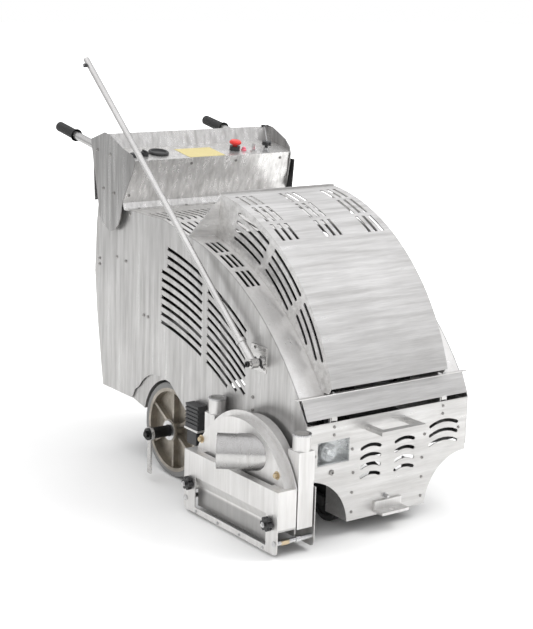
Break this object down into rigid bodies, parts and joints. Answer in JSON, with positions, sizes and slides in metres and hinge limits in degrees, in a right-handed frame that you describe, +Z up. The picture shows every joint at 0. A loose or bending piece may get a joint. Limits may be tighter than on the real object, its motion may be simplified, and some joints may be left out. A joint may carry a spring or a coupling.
{
  "type": "walk-behind concrete grinder",
  "caption": "Walk-behind floor grinder with slotted sheet-metal body, tilting hood, side-mounted drum head with dust port, console with controls and folding pointer pole.",
  "frame": {"origin": "on the floor at the middle of the bounding box", "axes": "+Y towards the operator, along the machine; -Y is the front; +Z up; the grinding head is on the -X side"},
  "size_m": [0.8175, 1.4753, 1.2659],
  "materials": {
    "chassis_frame": "satin powder coat",
    "side_panel_right": "brushed",
    "side_panel_left": "brushed",
    "rear_panel": "brushed",
    "top_deck": "brushed",
    "front_panel": "brushed",
    "headlight_lamp": "bright",
    "headlight_lens": "clear",
    "lift_handle": "satin",
    "tow_bracket": "satin",
    "console_tray": "brushed",
    "console_side_plates": "brushed",
    "handle_sockets": "as cast",
    "guide_posts": "brushed, galvanised look",
    "mudguards": "brushed",
    "engine_block": "as cast",
    "engine_shroud": "moulded",
    "muffler": "satin",
    "fuel_tank": "moulded",
    "battery": "moulded",
    "arbor_bearings": "as cast",
    "transaxle": "as cast",
    "drive_belt": "fabric faced",
    "estop_base": "moulded",
    "hour_meter": "moulded",
    "pole_bracket": "satin",
    "socket_bracket": "satin",
    "cable_socket": "moulded",
    "panel_screws": "bright",
    "depth_actuator": "satin",
    "hood_cover": "brushed",
    "hood_shoulders": "brushed",
    "fascia": "brushed",
    "engine_pulley": "as cast",
    "arbor_shaft": "turned",
    "arbor_pulley": "as cast",
    "grinding_drum": "worn",
    "drive_axle": "black oxide",
    "wheel_rims": "as cast",
    "tyres": "worn",
    "front_arm": "satin powder coat",
    "front_wheel_right": "moulded",
    "front_wheel_left": "moulded",
    "actuator_rod": "turned",
    "head_housing": "brushed, galvanised look",
    "dust_port": "satin",
    "skirt_outer_plate": "brushed, galvanised look",
    "skirt_inner_plate": "brushed, galvanised look",
    "skirt_rods": "turned",
    "star_knob_front": "moulded",
    "star_knob_rear": "moulded",
    "pole_clamp": "satin",
    "pole_tube": "satin",
    "pole_wheel": "moulded",
    "wing_knob": "moulded",
    "handlebar": "satin",
    "grips": "ribbed",
    "estop_button": "moulded",
    "throttle_knob": "moulded",
    "key": "turned",
    "light_switch": "moulded",
    "rear_pointer": "satin"
  },
  "bodies": {
    "chassis": {"chassis_frame": "chassis_frame", "side_panel_right": "side_panel_right", "side_panel_left": "side_panel_left", "rear_panel": "rear_panel", "top_deck": "top_deck", "front_panel": "front_panel", "headlight_lamp": "headlight_lamp", "headlight_lens": "headlight_lens", "lift_handle": "lift_handle", "tow_bracket": "tow_bracket", "console_tray": "console_tray", "console_side_plates": "console_side_plates", "handle_sockets": "handle_sockets", "guide_posts": "guide_posts", "mudguards": "mudguards", "engine_block": "engine_block", "engine_shroud": "engine_shroud", "muffler": "muffler", "fuel_tank": "fuel_tank", "battery": "battery", "arbor_bearings": "arbor_bearings", "transaxle": "transaxle", "drive_belt": "drive_belt", "estop_base": "estop_base", "hour_meter": "hour_meter", "pole_bracket": "pole_bracket", "socket_bracket": "socket_bracket", "cable_socket": "cable_socket", "panel_screws": "panel_screws", "depth_actuator": "depth_actuator"},
    "bonnet": {"hood_cover": "hood_cover", "hood_shoulders": "hood_shoulders", "fascia": "fascia"},
    "arbor": {"arbor_shaft": "arbor_shaft", "arbor_pulley": "arbor_pulley", "grinding_drum": "grinding_drum"},
    "engine_output": {"engine_pulley": "engine_pulley"},
    "drive_axle_set": {"drive_axle": "drive_axle", "wheel_rims": "wheel_rims", "tyres": "tyres"},
    "front_arm_body": {"front_arm": "front_arm"},
    "front_wheel_r": {"front_wheel_right": "front_wheel_right"},
    "front_wheel_l": {"front_wheel_left": "front_wheel_left"},
    "actuator_plunger": {"actuator_rod": "actuator_rod"},
    "head": {"head_housing": "head_housing", "dust_port": "dust_port"},
    "skirt": {"skirt_outer_plate": "skirt_outer_plate", "skirt_inner_plate": "skirt_inner_plate", "skirt_rods": "skirt_rods"},
    "knob_front": {"star_knob_front": "star_knob_front"},
    "knob_rear": {"star_knob_rear": "star_knob_rear"},
    "pole": {"pole_clamp": "pole_clamp", "pole_tube": "pole_tube"},
    "pole_roller": {"pole_wheel": "pole_wheel"},
    "pole_wing": {"wing_knob": "wing_knob"},
    "handles": {"handlebar": "handlebar", "grips": "grips"},
    "estop": {"estop_button": "estop_button"},
    "throttle": {"throttle_knob": "throttle_knob"},
    "key_body": {"key": "key"},
    "light_switch_body": {"light_switch": "light_switch"},
    "pointer_strap": {"rear_pointer": "rear_pointer"}
  },
  "joints": [
    {"name": "bonnet_hinge", "type": "hinge", "parent": "chassis", "child": "bonnet", "pos_m": [0.088, -0.662, 0.351], "axis": [1, 0, 0], "range_deg": [0, 65]},
    {"name": "arbor_spin", "type": "hinge", "parent": "chassis", "child": "arbor", "pos_m": [-0.112, -0.482, 0.16], "axis": [1, 0, 0], "continuous": true},
    {"name": "engine_spin", "type": "hinge", "parent": "chassis", "child": "engine_output", "pos_m": [0.048, -0.398, 0.43], "axis": [1, 0, 0], "continuous": true},
    {"name": "drive_axle_spin", "type": "hinge", "parent": "chassis", "child": "drive_axle_set", "pos_m": [0.088, 0.022, 0.15], "axis": [1, 0, 0], "continuous": true},
    {"name": "front_arm_lift", "type": "hinge", "parent": "chassis", "child": "front_arm_body", "pos_m": [0.088, -0.358, 0.13], "axis": [1, 0, 0], "range_deg": [-9, 0]},
    {"name": "front_wheel_right_spin", "type": "hinge", "parent": "front_arm_body", "child": "front_wheel_r", "pos_m": [-0.017, -0.538, 0.0625], "axis": [1, 0, 0], "continuous": true},
    {"name": "front_wheel_left_spin", "type": "hinge", "parent": "front_arm_body", "child": "front_wheel_l", "pos_m": [0.193, -0.538, 0.0625], "axis": [1, 0, 0], "continuous": true},
    {"name": "depth_plunger", "type": "slide", "parent": "chassis", "child": "actuator_plunger", "axis": [0, 0, 1], "range_m": [0, 0.0125]},
    {"name": "head_float", "type": "slide", "parent": "chassis", "child": "head", "axis": [0, 0, 1], "range_m": [0, 0.01]},
    {"name": "skirt_height", "type": "slide", "parent": "head", "child": "skirt", "axis": [0, 0, 1], "range_m": [0, 0.0048]},
    {"name": "star_knob_front_turn", "type": "hinge", "parent": "head", "child": "knob_front", "pos_m": [-0.342, -0.677, 0.095], "axis": [1, 0, 0], "continuous": true},
    {"name": "star_knob_rear_turn", "type": "hinge", "parent": "head", "child": "knob_rear", "pos_m": [-0.342, -0.287, 0.095], "axis": [1, 0, 0], "continuous": true},
    {"name": "pole_swing", "type": "hinge", "parent": "chassis", "child": "pole", "pos_m": [-0.244, -0.456, 0.479], "axis": [1, 0, 0], "range_deg": [0, 160]},
    {"name": "pole_wheel_spin", "type": "hinge", "parent": "pole", "child": "pole_roller", "pos_m": [-0.244, 0.46476, 1.24072], "axis": [1, 0, 0], "continuous": true},
    {"name": "wing_knob_turn", "type": "hinge", "parent": "chassis", "child": "pole_wing", "pos_m": [-0.225, -0.456, 0.479], "axis": [1, 0, 0], "continuous": true},
    {"name": "handle_extend", "type": "slide", "parent": "chassis", "child": "handles", "axis": [0, 0.9877, 0.1564], "range_m": [0, 0.1]},
    {"name": "estop_press", "type": "slide", "parent": "chassis", "child": "estop", "axis": [0, 0.1577, -0.9875], "range_m": [0, 0.0045]},
    {"name": "throttle_pull", "type": "slide", "parent": "chassis", "child": "throttle", "axis": [0, -0.1577, 0.9875], "range_m": [0, 0.02]},
    {"name": "key_turn", "type": "hinge", "parent": "chassis", "child": "key_body", "pos_m": [0.26, 0.26861, 0.96689], "axis": [0, -0.1577, 0.9875], "range_deg": [0, 90]},
    {"name": "light_switch_turn", "type": "hinge", "parent": "chassis", "child": "light_switch_body", "pos_m": [-0.146, 0.28935, 0.9702], "axis": [0, -0.1577, 0.9875], "range_deg": [0, 60]},
    {"name": "pointer_strap_swing", "type": "hinge", "parent": "chassis", "child": "pointer_strap", "pos_m": [-0.282, 0.022, 0.15], "axis": [1, 0, 0], "range_deg": [-20, 90]}
  ],
  "couplings": [
    {"joint": "engine_spin", "follows": "arbor_spin", "ratio": 1.1667},
    {"joint": "depth_plunger", "follows": "front_arm_lift", "m_per_rad": -0.075}
  ]
}
